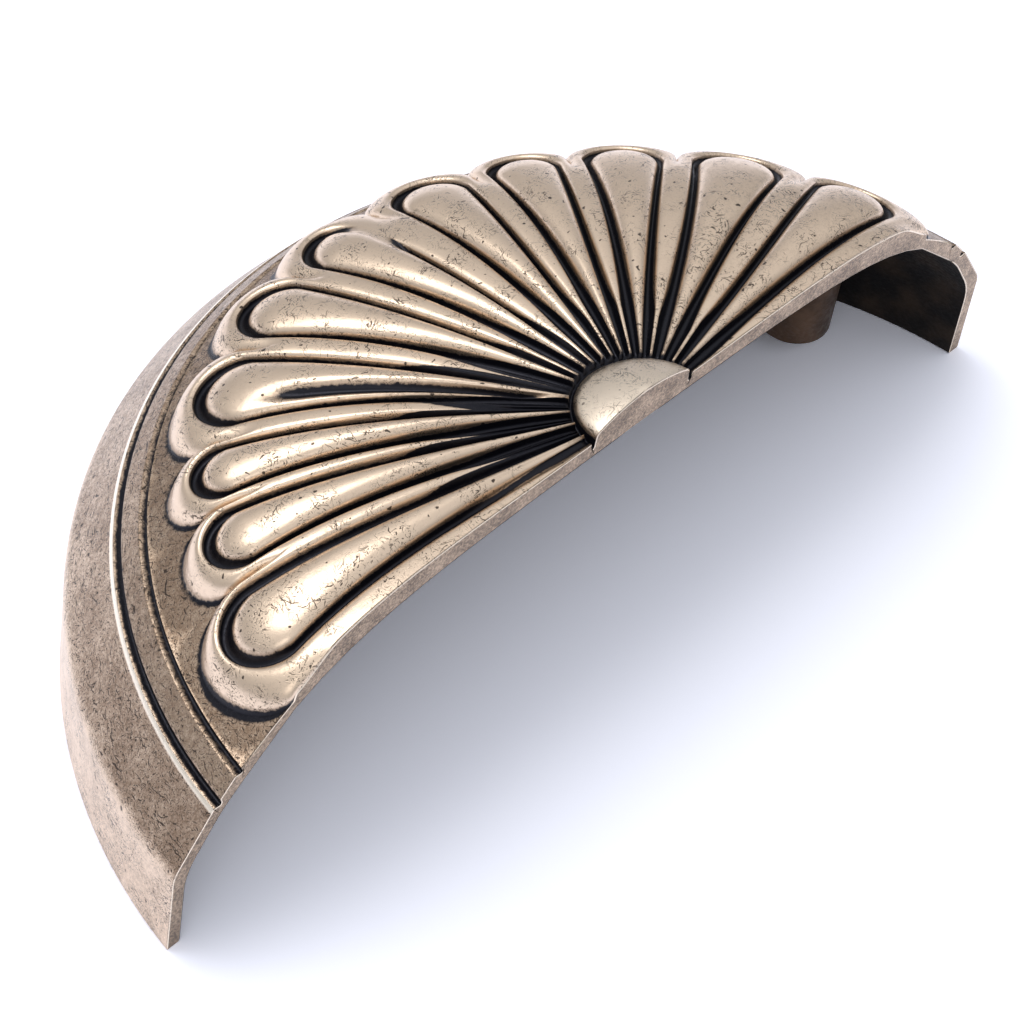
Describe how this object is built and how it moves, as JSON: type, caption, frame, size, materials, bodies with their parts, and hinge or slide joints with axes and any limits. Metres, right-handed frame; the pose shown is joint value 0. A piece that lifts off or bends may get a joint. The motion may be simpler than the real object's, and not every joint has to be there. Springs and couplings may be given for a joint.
{
  "type": "cup pull",
  "caption": "Half-round cup pull for a drawer: stepped rim, carved fan of rounded petals round a small hub, hollow inside for the fingers.",
  "frame": {"origin": "middle of the back plane that meets the drawer front, halfway along the length and the depth", "axes": "+X along the straight front edge, +Y away from the finger opening, +Z out from the drawer front"},
  "size_m": [0.082, 0.0356, 0.0243],
  "materials": {
    "antique_brass": "antique brass, satin, dark in the carving and worn bright on the edges"
  },
  "bodies": {
    "root": {"cup_pull": "antique_brass"}
  },
  "joints": []
}
